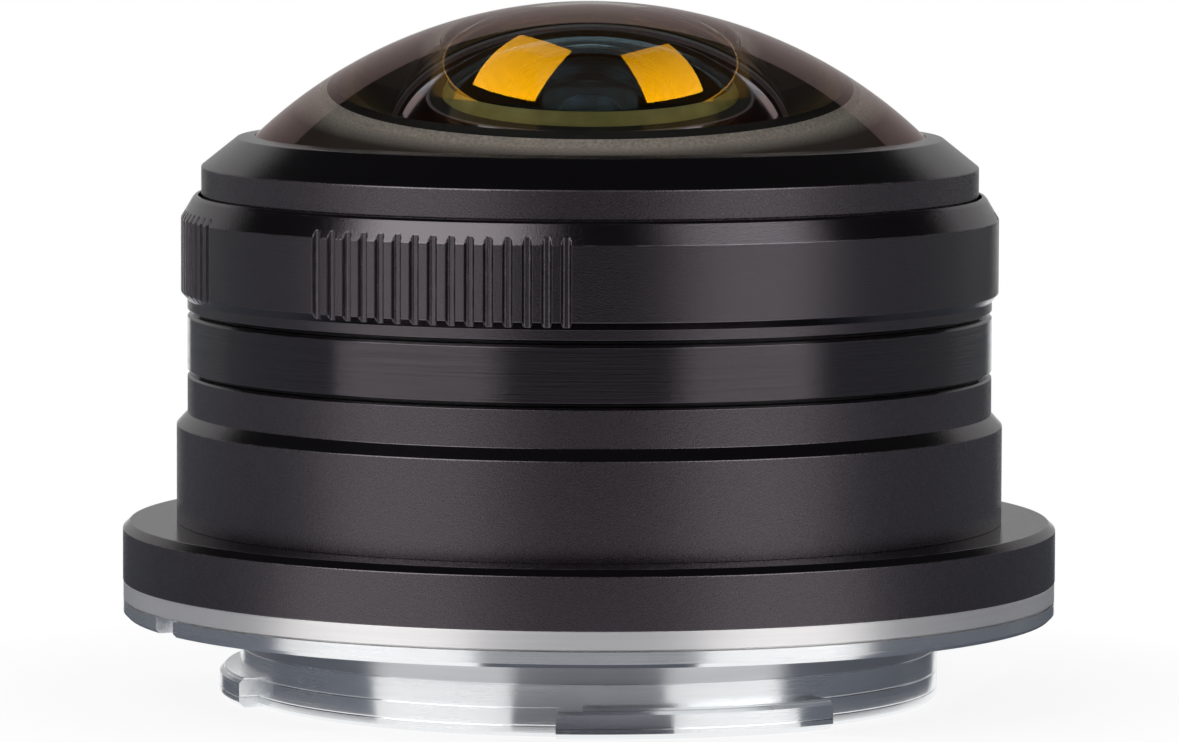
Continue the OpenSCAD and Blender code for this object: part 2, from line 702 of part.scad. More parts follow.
// The block's main body: cup for the front glass, guide tube, hub for the inner elements
module front_cell() color(black) difference() {
  tube_in_r = cell_r - cell_tube_wall;
  second_bore_r = second_r + glass_c;
  third_bore_r = third_r + glass_c;
  fourth_bore_r = fourth_r + glass_c;
  hub_r = third_bore_r + hub_wall;
  web_z = second_z - web_t;
  seal_in_r = seal_r - seal_c;
  seal_out_r = seal_r + seal_w + seal_c;
  seal_floor_z = dome_rear_z - seal_h - seal_c;
  turned([[cell_r, cell_z], [cell_r, cell_flange_z], [cup_r, cell_flange_z], [cup_r, cup_top_z],
    [cup_in_r, cup_top_z], [cup_in_r, dome_rear_z],
    [seal_out_r, dome_rear_z], [seal_out_r, seal_floor_z], [seal_in_r, seal_floor_z], [seal_in_r, dome_rear_z],
    [second_bore_r, dome_rear_z], [second_bore_r, second_z], [third_bore_r, second_z], [third_bore_r, third_z],
    [fourth_bore_r, third_z], [fourth_bore_r, fourth_z], [fourth_ledge_r, fourth_z], [fourth_ledge_r, cell_z],
    [hub_foot_r, cell_z], [hub_foot_r, cell_z + hub_foot_h], [hub_r, cell_z + hub_foot_h], [hub_r, web_z],
    [tube_in_r, web_z], [tube_in_r, cell_z]]);
  around(stop_pin_n, turn_of(stop_pin_side))
    radial_rod(stop_pin_d + 2 * seat_c, tube_in_r - cut, cell_r + cut, stop_pin_z);
  iris_screw_places() translate([0, 0, cell_z - cut])
    cylinder(d = iris_screw_d + 2 * seat_c, h = iris_screw_bite + cut + seat_c);
}

module stop_pins() color(steel) around(stop_pin_n, turn_of(stop_pin_side))
  radial_rod(stop_pin_d, cell_r - cell_tube_wall, ring_bore_r + stop_pin_out, stop_pin_z);

module second_element() color(glass) difference() {
  bevel_z = second_z + second_edge_h;
  union() {
    translate([0, 0, second_z]) cylinder(r = second_r, h = second_edge_h);
    translate([0, 0, bevel_z]) cylinder(r1 = second_r, r2 = second_clear_r, h = second_bevel_h);
    translate([0, 0, bevel_z + second_bevel_h]) cap(second_front_r, second_clear_r);
  }
  translate([0, 0, second_z - rise(second_rear_r, second_rear_a)]) sphere(second_rear_r);
}

module third_element() color(glass)
  element(third_r, third_z, third_z + third_t, -third_front_r, third_front_a, -third_rear_r, third_rear_a);

module third_retainer() color(black)
  retainer(third_front_a + ring_sight, third_r + glass_c - seat_c, third_z + third_t, third_retainer_h);

module fourth_element() color(glass)
  element(fourth_r, fourth_z, fourth_top_z, fourth_front_r, fourth_front_a, fourth_rear_r, fourth_rear_a);

module fourth_retainer() color(black)
  retainer(fourth_front_a + ring_sight, fourth_r + glass_c - seat_c, fourth_top_z, fourth_retainer_h);

// Iris

module iris_screw_places() {
  around(iris_screw_n, turn_of(iris_screw_side)) translate([iris_screw_r, 0, 0]) children();
}

module iris_screws() color(steel) iris_screw_places() translate([0, 0, iris_z])
  screw(iris_screw_d, cell_z + iris_screw_bite - iris_z, iris_screw_d, screw_slot_depth, false);

// Where a blade's drive pin stands after the blade has swung by an angle
function blade_drive(swing) = [blade_pivot_r, 0] + spin([0, -blade_arm], swing);

module iris_housing() color(black) difference() {
  arm_half = asin((fork_w + drive_pin_r + fork_c) / iris_wall_in_r) + window_spare;
  turned([[iris_floor_hole_r, iris_floor_z], [iris_floor_hole_r, iris_z + rear_spigot_h + face_c],
    [rear_spigot_r + seat_c, iris_z + rear_spigot_h + face_c], [rear_spigot_r + seat_c, iris_z],
    [hub_foot_r, iris_z], [hub_foot_r, cell_z], [iris_wall_in_r, cell_z], [iris_wall_in_r, iris_floor_z]]);
  around(blade_count) translate([blade_pivot_r, 0, iris_z - cut])
    cylinder(d = blade_pin_d + 2 * blade_pin_c, h = iris_floor_t + 2 * cut);
  sector([[iris_wall_in_r - cut, rotor_z - drive_clear], [hub_foot_r + cut, rotor_z - drive_clear],
      [hub_foot_r + cut, cell_z + cut], [iris_wall_in_r - cut, cell_z + cut]],
    turn_of(drive_side) - arm_half, aperture_turn + 2 * arm_half);
  iris_screw_places() translate([0, 0, iris_z - cut])
    cylinder(d = iris_screw_d + 2 * seat_c, h = cell_z - iris_z + 2 * cut);
}

module iris_retainer() color(black)
  ring(rotor_in_r, iris_wall_in_r - seat_c, rotor_top_z + face_c, rotor_top_z + face_c + iris_retainer_t);

// Ring with one cam slot for each blade and a fork that straddles the drive pin
module iris_rotor() color(steel) {
  slot_w = blade_pin_d + 2 * blade_pin_c;
  start = blade_drive(0);
  middle = spin(blade_drive(blade_swing / 2), -aperture_turn / 2);
  end = spin(blade_drive(blade_swing), -aperture_turn);
  centre = centre_of(start, middle, end);
  slot_r = norm(start - centre);
  past_end = asin(slot_w / 2 / slot_r);
  from = atan2(end[1] - centre[1], end[0] - centre[0]) - past_end;
  span = atan2(start[1] - centre[1], start[0] - centre[0]) + past_end - from;
  difference() {
    ring(rotor_in_r, rotor_out_r, rotor_z, rotor_top_z);
    around(blade_count) translate([centre[0], centre[1], rotor_z - cut])
      sector([[slot_r - slot_w / 2, 0], [slot_r + slot_w / 2, 0],
        [slot_r + slot_w / 2, rotor_t + 2 * cut], [slot_r - slot_w / 2, rotor_t + 2 * cut]], from, span);
  }
  rotate([0, 0, turn_of(drive_side)]) {
    fork_gap = drive_pin_r + fork_c;
    translate([rotor_out_r - edge_c, -fork_gap - fork_w, rotor_z])
      cube([fork_out - rotor_out_r + edge_c, 2 * (fork_gap + fork_w), arm_t]);
    for (y = [-fork_gap - fork_w, fork_gap]) translate([fork_in, y, rotor_z])
      cube([fork_out - fork_in, fork_w, cell_z - drive_clear - rotor_z]);
  }
}

// One blade: a crescent at its own level, with a pivot pin below and a drive pin above
module iris_blade(index) color(steel) {
  z = blade_z + index * blade_step;
  foot_z = iris_z + face_c;
  drive = blade_drive(0);
  rotate([0, 0, index * 360 / blade_count]) {
    translate([0, 0, z]) {
      sector([[iris_open_r, 0], [blade_body_r, 0], [blade_body_r, blade_t], [iris_open_r, blade_t]],
        blade_from, blade_to - blade_from);
      translate([blade_body_r - blade_ear_root, -blade_ear_r, 0])
        cube([blade_pivot_r - blade_body_r + blade_ear_root, 2 * blade_ear_r, blade_t]);
      translate([blade_pivot_r - blade_ear_r, drive[1], 0]) cube([2 * blade_ear_r, blade_arm, blade_t]);
      translate([blade_pivot_r, 0, 0]) cylinder(r = blade_ear_r, h = blade_t);
      translate([drive[0], drive[1], 0]) cylinder(r = blade_ear_r, h = blade_t);
    }
    translate([blade_pivot_r, 0, foot_z]) cylinder(d = blade_pin_d, h = z + blade_t - foot_z);
    translate([drive[0], drive[1], z]) cylinder(d = blade_pin_d, h = rotor_top_z - z);
  }
}

// Rear cell and rear elements

module rear_cell() color(black)
  turned([[seventh_r + glass_c, rear_cell_z], [rear_cell_r - edge_c, rear_cell_z],
    [rear_cell_r, rear_cell_z + edge_c], [rear_cell_r, iris_z], [rear_spigot_r, iris_z],
    [rear_spigot_r, iris_z + rear_spigot_h], [doublet_shoulder_r, iris_z + rear_spigot_h],
    [doublet_shoulder_r, doublet_z], [doublet_r + glass_c, doublet_z],
    [doublet_r + glass_c, sixth_z - doublet_retainer_h], [seventh_throat_r, sixth_z - doublet_retainer_h],
    [seventh_throat_r, seventh_top_z], [seventh_r + glass_c, seventh_top_z]]);

module fifth_element() color(glass)
  element(doublet_r, sixth_top_z, doublet_z, -fifth_front_r, fifth_front_a, -cement_r, cement_a);

module sixth_element() color(glass)
  element(doublet_r, sixth_z, sixth_top_z, cement_r + cement_c, cement_a - cement_c,
    sixth_rear_r, sixth_rear_a);

module doublet_retainer() color(black) translate([0, 0, sixth_z]) mirror([0, 0, 1])
  retainer(sixth_rear_a + ring_sight, doublet_r + glass_c - seat_c, 0, doublet_retainer_h);

module seventh_element() color(glass)
  element(seventh_r, seventh_z, seventh_top_z, seventh_front_r, seventh_a, seventh_rear_r, seventh_a);

module rear_retainer() color(black) translate([0, 0, seventh_z]) mirror([0, 0, 1])
  retainer(seventh_a + ring_sight, seventh_r + glass_c - seat_c, 0, rear_retainer_h);

bayonet_mount();
mount_spacer();
mount_screws();
flange_ring();
barrel_screws();
rear_barrel();
guide_barrel();
lower_washer();
middle_washer();
focus_retainer();
rear_baffle();
baffle_screws();
focus_ring();
aperture_ring();
aperture_pin();
front_ring();
front_element();
front_seal();
front_cell();
second_element();
third_element();
third_retainer();
fourth_element();
fourth_retainer();
stop_pins();
iris_housing();
iris_screws();
iris_retainer();
rear_cell();
fifth_element();
sixth_element();
doublet_retainer();
seventh_element();
rear_retainer();
iris_rotor();
iris_blade(0);  // iris_blade_1
iris_blade(1);  // iris_blade_2
iris_blade(2);  // iris_blade_3
iris_blade(3);  // iris_blade_4
iris_blade(4);  // iris_blade_5
iris_blade(5);  // iris_blade_6
iris_blade(6);  // iris_blade_7
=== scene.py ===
import math

import bpy
from mathutils import Matrix, Vector


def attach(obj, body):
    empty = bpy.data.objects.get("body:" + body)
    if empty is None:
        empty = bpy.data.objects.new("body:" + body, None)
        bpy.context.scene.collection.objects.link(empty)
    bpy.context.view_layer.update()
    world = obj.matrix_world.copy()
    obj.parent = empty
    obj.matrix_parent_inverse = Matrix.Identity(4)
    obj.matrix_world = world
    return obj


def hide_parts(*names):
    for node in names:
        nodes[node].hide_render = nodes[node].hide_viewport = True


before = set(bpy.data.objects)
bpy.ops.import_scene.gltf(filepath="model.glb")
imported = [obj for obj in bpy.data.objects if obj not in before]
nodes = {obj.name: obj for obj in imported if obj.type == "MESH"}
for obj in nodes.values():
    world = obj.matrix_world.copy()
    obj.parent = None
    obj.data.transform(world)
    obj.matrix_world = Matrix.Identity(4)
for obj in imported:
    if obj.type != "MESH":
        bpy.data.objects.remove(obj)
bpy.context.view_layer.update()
MM = 0.001

# Sizes of the part in millimetres, as the CAD has them
DOME_R = 31.1               # front face of the front glass
DOME_C = 8.2709             # height of that face's centre
DOME_EDGE = 22.2            # radius of the front glass
DOME_EDGE_Z = 30.0511
DOME_REAR_Z = 28.0811       # flat rear seat
BOWL_R = 14.5               # hollow behind the front glass
BOWL_C = 23.6709
BOWL_RIM = math.sqrt(BOWL_R ** 2 - (DOME_REAR_Z - BOWL_C) ** 2)
SECOND_R = 10.4226          # second glass
SECOND_CLEAR = 9.9226       # where its front face meets the ground bevel
SECOND_Z = 26.3711
SECOND_EDGE_Z = 27.8511
SECOND_TOP_Z = 29.0511
SECOND_FRONT_R = 20.0
SECOND_REAR_R = 7.5
SECOND_REAR_A = 6.6
FLANGE_R = 29.99
SPACER_R = 29.96
BARREL_R = 26.525
BAND_R = 25.825             # index ring, aperture ring and the foot of the focus ring
RING_BORE = 23.25
BEZEL_R = 24.94
FOCUS_R = 26.24             # wall of the focus ring

# Grip grooves of the focus ring, in millimetres and degrees
GROOVE_HALF = 0.33          # half the width at the wall, before its lips are rounded
GROOVE_FLOOR = 0.2          # half the width at the bottom
GROOVE_DEPTH = 0.3
GROOVE_REACH = 0.45         # from the middle of a groove to the plain land beside it
GROOVE_PITCH = 2.651
GROOVE_COUNT = 15
PATCH_SIDES = (-40.25, -103.8)  # first grooves of two patches; the other two are mirrored about PLAIN_SIDE
PLAIN_SIDE = 41.1

# Zones of the hollow's wall, as the radius where each ends
PAINT_END = 13.62
BLACK_END = 13.42
RIM_END = 12.6


# Mesh helpers

def rounded(corners, closed=True, steps=4):
    """Points, normals and edge marks of a section whose corners (r, z, radius) are rounded; the mark on
    convex roundings stands for worn edges and a painted highlight along them.

    The solid lies to the left of the section's direction."""
    most_cut = 0.45  # share of a side that one corner's rounding may take
    out = []
    n = len(corners)
    for i, (r, z, rad) in enumerate(corners):
        if not closed and i in (0, n - 1):
            out.append((r, z, None, 0.0))
            continue
        r0, z0, _ = corners[i - 1]
        r1, z1, _ = corners[(i + 1) % n]
        d1 = Vector((r - r0, z - z0))
        d2 = Vector((r1 - r, z1 - z))
        longest = most_cut * min(d1.length, d2.length)
        d1.normalize()
        d2.normalize()
        turn = math.atan2(d1.x * d2.y - d1.y * d2.x, d1.dot(d2))
        slope = math.tan(abs(turn) / 2)
        cut = min(rad * slope, longest)
        rad = cut / slope
        side = 1 if turn > 0 else -1
        n1 = Vector((d1.y, -d1.x))
        start = Vector((r, z)) - d1 * cut
        centre = start - n1 * rad * side
        for k in range(steps + 1):
            a = turn * k / steps
            c, s = math.cos(a), math.sin(a)
            nk = Vector((n1.x * c - n1.y * s, n1.x * s + n1.y * c))
            p = centre + nk * rad * side
            # convex roundings are marked as worn edges, a mark that also lights them with a painted highlight
            wear_and_highlight = 1.0 if 0 < k < steps and side > 0 else 0.0
            out.append((p.x, p.y, nk, wear_and_highlight))
    return out


def make_mesh(name, verts, faces, normals, mats, face_mat=None, wear_and_highlight=None):
    """A smooth mesh object with its own normals: one per vertex, or one per face corner."""
    me = bpy.data.meshes.new(name)
    me.from_pydata(verts, [], faces)
    for m in mats:
        me.materials.append(m)
    if face_mat:
        me.polygons.foreach_set("material_index", face_mat)
    me.polygons.foreach_set("use_smooth", [True] * len(faces))
    # the edge mark: worn edges and a painted highlight
    if wear_and_highlight:
        layer = me.attributes.new("wear_and_highlight", "FLOAT", "POINT")
        layer.data.foreach_set("value", wear_and_highlight)
    me.update()
    if len(normals) == len(verts):
        me.normals_split_custom_set_from_vertices(normals)
    else:
        me.normals_split_custom_set(normals)
    ob = bpy.data.objects.new(name, me)
    bpy.context.scene.collection.objects.link(ob)
    return ob


def wrapped(columns, m):
    """Quads of a closed section of m points that goes once round the axis."""
    faces = []
    for j in range(columns):
        k = (j + 1) % columns
        for i in range(m):
            h = (i + 1) % m
            faces.append((j * m + i, k * m + i, k * m + h, j * m + h))
    return faces


def turned(name, corners, mat, count=288):
    """A ring turned from a closed section with rounded edges."""
    section = rounded(corners)
    verts, norms, wear_and_highlight = [], [], []
    for j in range(count):
        a = 2 * math.pi * j / count
        c, s = math.cos(a), math.sin(a)
        for r, z, nk, w in section:
            verts.append((r * c * MM, r * s * MM, z * MM))
            norms.append((nk.x * c, nk.x * s, nk.y))
            wear_and_highlight.append(w)
    return make_mesh(name, verts, wrapped(count, len(section)), norms, [mat], wear_and_highlight=wear_and_highlight)


def lens(name, runs, mats, count=192):
    """A lens from runs of (points, normals, material), from the front vertex round to the rear one."""
    on_axis = 1e-6
    points, spans = [], []
    for run, normals, mat in runs:
        for i, q in enumerate(run):
            if points and i == 0:
                continue
            points.append(q)
            if i:
                spans.append((normals[i - 1], normals[i], mat))
    angles = [2 * math.pi * j / count for j in range(count)]
    verts, index = [], []
    for r, z in points:
        if r < on_axis:
            index.append([len(verts)] * count)
            verts.append((0, 0, z * MM))
        else:
            index.append(list(range(len(verts), len(verts) + count)))
            verts += [(r * math.cos(a) * MM, r * math.sin(a) * MM, z * MM) for a in angles]
    faces, loops, face_mat = [], [], []
    for i, (first, last, mat) in enumerate(spans):
        for j in range(count):
            k = (j + 1) % count
            quad = [(index[i][j], first, j), (index[i + 1][j], last, j),
                    (index[i + 1][k], last, k), (index[i][k], first, k)]
            corners = []
            for v, normal, column in quad:
                if v not in [c[0] for c in corners]:
                    corners.append((v, normal, column))
            faces.append([c[0] for c in corners])
            face_mat.append(mat)
            for _, (out, up), column in corners:
                a = angles[column]
                loops.append((out * math.cos(a), out * math.sin(a), up))
    return make_mesh(name, verts, faces, loops, mats, face_mat=face_mat)


def sphere_run(radius, centre, a0, a1, steps, sign, mat):
    """Part of a spherical face from angle a0 to a1 off the axis; sign is -1 for a hollow face."""
    pts, nm = [], []
    for i in range(steps + 1):
        a = a0 + (a1 - a0) * i / steps
        pts.append((radius * math.sin(a), centre + radius * math.cos(a)))
        nm.append((sign * math.sin(a), sign * math.cos(a)))
    return pts, nm, mat


def flat_run(p, q, mat):
    """A straight piece of a section."""
    d = Vector((q[0] - p[0], q[1] - p[1])).normalized()
    nm = (-d.y, d.x)
    return [p, q], [nm, nm], mat


def grip_columns():
    """Columns round the focus ring: angle, height over the wall, normal across the wall, and the mark of worn
    edges with a painted highlight.
    """
    plain_columns = 300
    margin = 0.02  # radians from a patch to the nearest plain column
    lip, bottom = 0.05, 0.2  # roundings
    half = [(GROOVE_REACH, 0, 0), (GROOVE_HALF, 0, lip), (GROOVE_FLOOR, -GROOVE_DEPTH, bottom)]
    groove = rounded([(-s, h, rad) for s, h, rad in half] + half[::-1], closed=False)
    outward = Vector((0, 1))
    pitch = math.radians(GROOVE_PITCH)
    span = (GROOVE_COUNT - 1) * GROOVE_PITCH
    columns, covered = [], []
    for first in PATCH_SIDES + tuple(2 * PLAIN_SIDE - side - span for side in PATCH_SIDES):
        a0 = math.radians(first - 90)
        covered.append((a0 - margin, a0 + pitch * (GROOVE_COUNT - 1) + margin))
        for i in range(GROOVE_COUNT):
            for s, h, normal, w in groove:
                if normal is None:
                    normal = outward
                elif normal.y < 0:
                    normal = -normal
                columns.append((a0 + i * pitch + s / FOCUS_R, h, normal, w))
    full = 2 * math.pi
    for j in range(plain_columns):
        a = full * j / plain_columns
        if not any(lo < a + t < hi for lo, hi in covered for t in (-full, 0, full)):
            columns.append((a, 0.0, outward, 0.0))
    columns = [(math.atan2(math.sin(a), math.cos(a)), h, normal, w) for a, h, normal, w in columns]
    return sorted(columns, key=lambda column: column[0])


def grip_section(corners):
    """The focus ring's section, with points added on its slopes for the grooves to end at."""
    step, steps = 0.05, 6  # down to the grooves' depth
    section = []
    for point in rounded(corners):
        if section:
            (r0, z0, normal, _), (r1, z1) = section[-1], point[:2]
            if abs(r1 - r0) > 2 * step:
                cuts = [(FOCUS_R - step * i - r0) / (r1 - r0) for i in range(1, steps + 1)]
                for t in sorted(cuts):
                    if 0 < t < 1:
                        section.append((r0 + t * (r1 - r0), z0 + t * (z1 - z0), normal, 0.0))
        section.append(point)
    return section


def grip_ring(name, corners, mat):
    """The focus ring: a turned section with patches of grooves cut down its wall."""
    near_wall = 0.02
    hair = 1e-6
    section = grip_section(corners)
    columns = grip_columns()
    verts, norms, wear_and_highlight = [], [], []
    for a, h, across, groove_wear_and_highlight in columns:
        c, s = math.cos(a), math.sin(a)
        limit = FOCUS_R + h
        groove_normal = (across.y * c - across.x * s, across.y * s + across.x * c, 0)
        for r, z, nk, w in section:
            cut = r > limit + hair
            at_wall = abs(r - FOCUS_R) < near_wall
            radius = limit if cut else r
            verts.append((radius * c * MM, radius * s * MM, z * MM))
            if cut or (groove_wear_and_highlight and at_wall):
                norms.append(groove_normal)
            else:
                norms.append((nk.x * c, nk.x * s, nk.y))
            # groove lips carry the edge mark too: worn edges and a painted highlight
            if cut:
                wear_and_highlight.append(groove_wear_and_highlight)
            else:
                wear_and_highlight.append(max(w, groove_wear_and_highlight) if at_wall else w)
    return make_mesh(name, verts, wrapped(len(columns), len(section)), norms, [mat], wear_and_highlight=wear_and_highlight)


# Material helpers

class Look:
    """A node material around one Principled shader."""

    def __init__(self, name, **values):
        self.mat = bpy.data.materials.new(name)
        self.mat.use_nodes = True
        self.tree = self.mat.node_tree
        self.tree.nodes.clear()
        self.out = self.tree.nodes.new("ShaderNodeOutputMaterial")
        self.bsdf = self.tree.nodes.new("ShaderNodeBsdfPrincipled")
        self.tree.links.new(self.bsdf.outputs[0], self.out.inputs["Surface"])
        for k, v in values.items():
            self.bsdf.inputs[k.replace("_", " ")].default_value = v
        self.coord = self.tree.nodes.new("ShaderNodeTexCoord").outputs["Object"]

    def put(self, socket, value):
        if isinstance(value, bpy.types.NodeSocket):
            self.tree.links.new(value, socket)
        else:
            socket.default_value = value

    def node(self, kind, inputs=(), out=0, **attrs):
        nd = self.tree.nodes.new(kind)
        for k, v in attrs.items():
            setattr(nd, k, v)
        for k, v in dict(inputs).items():
            self.put(nd.inputs[k], v)
        return nd.outputs[out]

    def math(self, op, *values):
        return self.node("ShaderNodeMath", enumerate(values), operation=op)

    def blend(self, a, share, b):
        """The given share of a and the rest of b."""
        return self.math("MULTIPLY_ADD", a, share, self.math("MULTIPLY", b, 1.0 - share))

    def noise(self, scale, vector=None, detail=2.0, rough=0.5):
        place = self.coord if vector is None else vector
        ins = {"Vector": place, "Scale": scale, "Detail": detail, "Roughness": rough}
        return self.node("ShaderNodeTexNoise", ins)

    def ramp(self, fac, lo, hi, a, b):
        """Maps fac from lo..hi to a..b, clamped."""
        ins = {0: fac, 1: lo, 2: hi, 3: a, 4: b}
        return self.node("ShaderNodeMapRange", ins, clamp=True)

    def mix(self, fac, a, b):
        nd = self.tree.nodes.new("ShaderNodeMix")
        nd.data_type = "RGBA"
        self.put(nd.inputs[0], fac)
        self.put(nd.inputs[6], a)
        self.put(nd.inputs[7], b)
        return nd.outputs[2]

    def place(self):
        """The three object coordinates."""
        xyz = self.tree.nodes.new("ShaderNodeSeparateXYZ")
        self.tree.links.new(self.coord, xyz.inputs[0])
        return xyz.outputs

    def height(self):
        return self.place()[2]

    def radius(self):
        """Distance from the axis."""
        x, y, _ = self.place()
        square = self.math("ADD", self.math("MULTIPLY", x, x), self.math("MULTIPLY", y, y))
        return self.math("SQRT", square)

    def around(self, k, along):
        """A vector that changes slowly round the axis and fast along walls and flats, for turning marks."""
        x, y, z = self.place()
        r = self.radius()
        safe = self.math("MAXIMUM", r, 1e-5)
        cx = self.math("MULTIPLY", self.math("DIVIDE", x, safe), k)
        cy = self.math("MULTIPLY", self.math("DIVIDE", y, safe), k)
        up = self.math("ADD", self.math("MULTIPLY", z, along), self.math("MULTIPLY", r, along))
        return self.node("ShaderNodeCombineXYZ", {0: cx, 1: cy, 2: up})

    def tilt(self):
        """How far the surface faces up, from 1 to -1."""
        normal = self.node("ShaderNodeNewGeometry", out=1)
        return self.node("ShaderNodeSeparateXYZ", {0: normal}, out=2)

    def rub_and_highlight(self):
        """How far an edge is rubbed and lit by a painted highlight: uneven along the edge, and 0 away from
        edges.
        """
        wear_and_highlight = self.node("ShaderNodeAttribute", attribute_name="wear_and_highlight", out=2)
        return self.math("MULTIPLY", wear_and_highlight, self.ramp(self.noise(900, detail=3.0), 0.4, 0.7, 0.15, 0.75))

    def turning(self):
        """The direction round the axis, for gloss that turning or brushing stretches."""
        return self.node("ShaderNodeTangent", direction_type="RADIAL", axis="Z")

    def bump(self, height, strength, distance, normal=None):
        ins = {"Height": height, "Strength": strength, "Distance": distance}
        if normal is not None:
            ins["Normal"] = normal
        return self.node("ShaderNodeBump", ins)

    def set(self, **links):
        for k, v in links.items():
            self.put(self.bsdf.inputs[k.replace("_", " ")], v)
        return self.mat


def rgb(r, g, b):
    return (r, g, b, 1.0)


# painted shade: the darker tone that faces looking up or down take, bevels among them
PAINTED_SHADE_BEVEL = rgb(0.0018, 0.0014, 0.0017)
# tone of rubbed edges, which is also a painted highlight along them, and of random light specks
RUBBED_AND_HIGHLIGHT = rgb(0.08, 0.07, 0.076)
ANODISED_TINT = rgb(1.0, 0.9, 0.98)


def blasted(name, dark, light, rough, aniso):
    """Bead-blasted, black anodised aluminium: fine grain, mottled dye, smooth bevels darkened with painted
    shade, rubbed edges lightened as worn edges and with a painted highlight.
    """
    k = Look(name, IOR=1.95, Specular_Tint=ANODISED_TINT, Anisotropic=aniso)
    relief = 0.2
    grain = k.noise(11000, detail=2.0, rough=0.6)
    mottle = k.noise(420, detail=4.0, rough=0.6)
    speck = k.noise(9000, detail=1.0)
    wall = k.ramp(k.math("ABSOLUTE", k.tilt()), 0.3, 0.6, 1.0, 0.0)
    tone = k.mix(k.ramp(mottle, 0.35, 0.7, 0.0, 1.0), dark, light)
    tone = k.mix(k.ramp(speck, 0.6, 0.75, 0.0, 0.12), tone, RUBBED_AND_HIGHLIGHT)
    # painted shade: faces that look up or down, the bevels among them, take the darker tone
    tone = k.mix(wall, PAINTED_SHADE_BEVEL, tone)
    rub_and_highlight = k.rub_and_highlight()
    # rubbed edges take a lighter tone: worn edges and a painted highlight
    tone = k.mix(rub_and_highlight, tone, RUBBED_AND_HIGHLIGHT)
    shine = k.ramp(grain, 0.3, 0.7, rough - 0.04, rough + 0.04)
    shine = k.math("SUBTRACT", shine, k.math("MULTIPLY", rub_and_highlight, 0.08))
    smooth = k.math("MULTIPLY_ADD", wall, 0.5, 0.5)
    shine = k.math("MULTIPLY", shine, smooth)
    bumps = k.bump(grain, k.math("MULTIPLY", smooth, relief), 0.00008)
    return k.set(Base_Color=tone, Roughness=shine, Normal=bumps, Tangent=k.turning())


def brushed(name, dark, light, rough, aniso):
    """Black anodised aluminium brushed round the axis before it was dyed."""
    k = Look(name, IOR=1.8, Specular_Tint=ANODISED_TINT, Anisotropic=aniso, Anisotropic_Rotation=0.25)
    fine = k.noise(1.0, k.around(2.5, 6000), detail=4.0, rough=0.7)
    broad = k.noise(1.0, k.around(2.2, 2600), detail=2.0)
    tone = k.mix(k.ramp(fine, 0.35, 0.7, 0.0, 1.0), dark, light)
    # rubbed edges take a lighter tone: worn edges and a painted highlight
    tone = k.mix(k.rub_and_highlight(), tone, RUBBED_AND_HIGHLIGHT)
    shine = k.ramp(k.blend(fine, 0.6, broad), 0.35, 0.65, rough - 0.04, rough + 0.05)
    return k.set(Base_Color=tone, Roughness=shine, Normal=k.bump(fine, 0.2, 0.00008), Tangent=k.turning())


def turned_metal(name, dark, light, rough, aniso, metallic=1.0, lines=(), collar=None):
    """Machined metal with turning marks; lines are heights of scribed lines, collar those of a dull belt."""
    k = Look(name, Metallic=metallic, Anisotropic=aniso, Anisotropic_Rotation=0.25)
    fine = k.noise(1.0, k.around(3.0, 12000), detail=4.0, rough=0.7)
    broad = k.noise(1.0, k.around(1.5, 4200), detail=2.0)
    smear = k.noise(160, detail=4.0, rough=0.6)
    tone = k.mix(k.ramp(k.blend(fine, 0.5, broad), 0.35, 0.65, 0.0, 1.0), dark, light)
    shine = k.ramp(k.blend(fine, 0.6, smear), 0.35, 0.65, rough - 0.05, rough + 0.07)
    if collar:
        low, high = [z * MM for z in collar]
        above = k.math("GREATER_THAN", k.height(), low)
        belt = k.math("MULTIPLY", above, k.math("LESS_THAN", k.height(), high))
        tone = k.mix(k.math("MULTIPLY", belt, 0.4), tone, rgb(0.30, 0.30, 0.33))
        shine = k.math("MULTIPLY_ADD", belt, 0.1, shine)
    bumps = k.bump(fine, 0.12, 0.00003)
    for z in lines:
        off = k.math("ABSOLUTE", k.math("SUBTRACT", k.height(), z * MM))
        bumps = k.bump(k.ramp(off, 0.0, 0.00006, 0.0, 1.0), 0.5, 0.00004, bumps)
    return k.set(Base_Color=tone, Roughness=shine, Normal=bumps, Tangent=k.turning())


def painted(name, dark, light, rough, scale, strength=0.2):
    """Matt paint, moulded plastic or rubber with a fine grain."""
    k = Look(name)
    grain = k.noise(scale, detail=3.0, rough=0.6)
    patch = k.noise(scale / 14, detail=3.0)
    tone = k.mix(k.ramp(patch, 0.35, 0.7, 0.0, 1.0), dark, light)
    shine = k.ramp(grain, 0.3, 0.7, rough - 0.06, rough + 0.08)
    return k.set(Base_Color=tone, Roughness=shine, Normal=k.bump(grain, strength, 0.00005))


def edge_paint_and_painted_light(name):
    """Black paint on ground glass, seen through it. Tones over the paint's black are painted light for the
    light that falls through the glass onto it: whitish by the hollow, brownish further out, greenish
    yellow-brown at the edge.
    """
    k = Look(name)
    r = k.radius()
    grain = k.noise(5200, detail=3.0, rough=0.6)
    # the three lighter tones below are painted light, not the paint's own colour; only the dark grain is the
    # paint's black
    pale_painted_light, brown_painted_light = rgb(0.80, 0.72, 0.67), rgb(0.085, 0.06, 0.05)
    olive_painted_light, black_grain = rgb(0.36, 0.27, 0.13), rgb(0.03, 0.026, 0.025)
    tone = k.mix(k.ramp(r, 13.9 * MM, 15.8 * MM, 0.0, 1.0), pale_painted_light, brown_painted_light)
    tone = k.mix(k.ramp(r, 20.8 * MM, DOME_EDGE * MM, 0.0, 1.0), tone, olive_painted_light)
    tone = k.mix(k.ramp(grain, 0.25, 0.75, 0.55, 0.0), tone, black_grain)
    shine = k.ramp(grain, 0.3, 0.7, 0.5, 0.65)
    return k.set(Base_Color=tone, Roughness=shine, Normal=k.bump(grain, 0.15, 0.00005))


